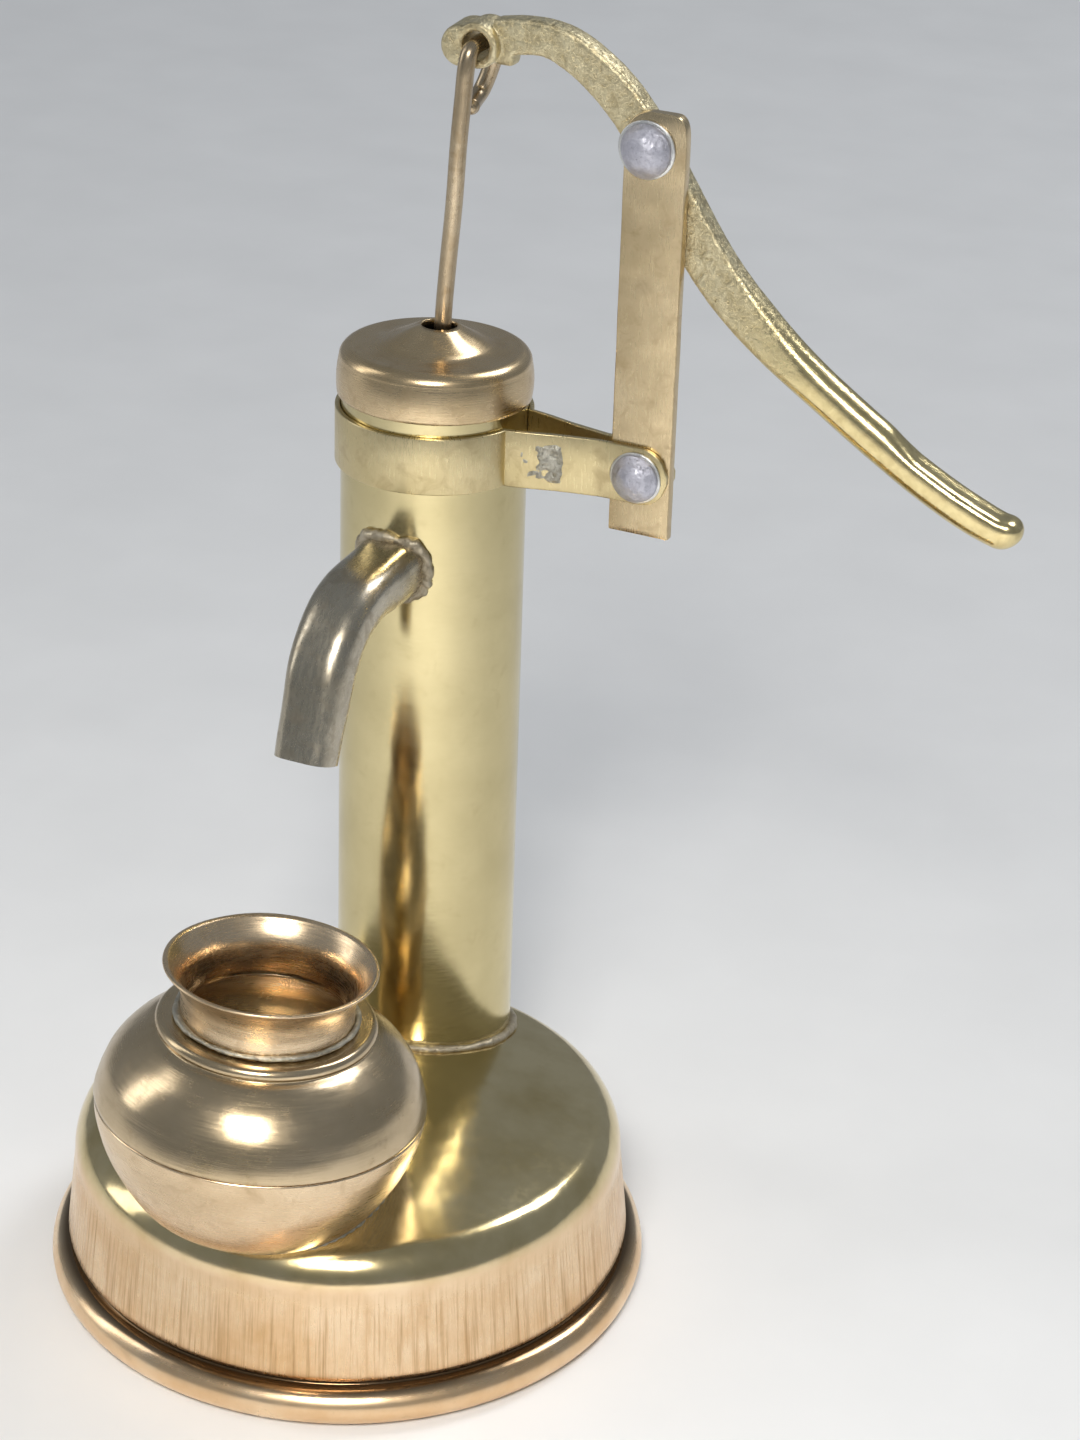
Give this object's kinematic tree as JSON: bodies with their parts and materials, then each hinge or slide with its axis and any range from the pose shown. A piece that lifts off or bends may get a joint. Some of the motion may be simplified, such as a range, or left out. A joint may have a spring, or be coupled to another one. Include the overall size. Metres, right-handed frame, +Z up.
{
  "type": "table-top hand pump",
  "caption": "Small brass hand water pump on a round domed base: tall barrel with a curved spout over a soldered pot, and a cast lever that works a wire rod and piston.",
  "frame": {"origin": "centre of the round base at floor level", "axes": "+Z up; +X from the barrel towards the lever's handle; -Y from the barrel towards the spout and pot"},
  "size_m": [0.1575, 0.112, 0.2214],
  "materials": {
    "polished_brass": "polished, light scratches",
    "worn_brass": "dulled, brushed",
    "cast_brass": "rough cast, edges ground",
    "solder": "dull soft solder",
    "rivet_aluminium": "dull",
    "valve_steel": "bright",
    "cup_leather": "oiled"
  },
  "bodies": {
    "stand": {"base_shell": "polished_brass", "base_plate": "worn_brass", "barrel_tube": "polished_brass", "barrel_foot_solder": "solder", "spout": "worn_brass", "spout_solder": "solder", "cap": "polished_brass", "cap_solder": "solder", "clamp_band": "worn_brass", "clamp_solder": "solder", "link": "worn_brass", "lower_rivet": "rivet_aluminium", "lower_rivet_washer": "rivet_aluminium", "upper_rivet": "rivet_aluminium", "upper_rivet_washer": "rivet_aluminium", "foot_valve_seat": "polished_brass", "foot_valve_cage": "polished_brass", "suction_tube": "polished_brass", "pot_bowl": "polished_brass", "pot_floor": "polished_brass", "pot_foot_solder": "solder", "pot_body": "polished_brass", "pot_neck": "polished_brass", "pot_neck_solder": "solder"},
    "lever": {"lever": "cast_brass"},
    "rod": {"pump_rod": "polished_brass"},
    "piston": {"piston_yoke": "cast_brass", "piston_pin": "valve_steel", "piston_stud": "polished_brass", "piston_cup": "cup_leather", "piston_follower": "polished_brass", "piston_nut": "worn_brass"},
    "piston_valve": {"piston_valve": "cup_leather"},
    "foot_valve": {"foot_valve_ball": "valve_steel"}
  },
  "joints": [
    {"name": "lever_pivot", "type": "hinge", "parent": "stand", "child": "lever", "pos_m": [0.037, 0.0324, 0.2043], "axis": [0, -1, 0], "range_deg": [0, 30]},
    {"name": "rod_eye", "type": "hinge", "parent": "lever", "child": "rod", "pos_m": [0.0062, 0.0324, 0.2162], "axis": [0, -1, 0], "range_deg": [-30, 1]},
    {"name": "piston_stroke", "type": "slide", "parent": "stand", "child": "piston", "axis": [0, 0, 1], "range_m": [-0.0174, 0]},
    {"name": "piston_valve_lift", "type": "slide", "parent": "piston", "child": "piston_valve", "axis": [0, 0, 1], "range_m": [0, 0.002]},
    {"name": "foot_valve_lift", "type": "slide", "parent": "stand", "child": "foot_valve", "axis": [0, 0, 1], "range_m": [0, 0.003]}
  ],
  "couplings": [
    {"joint": "rod_eye", "follows": "lever_pivot", "ratio": -0.965},
    {"joint": "piston_stroke", "follows": "lever_pivot", "m_per_rad": -0.0325}
  ]
}
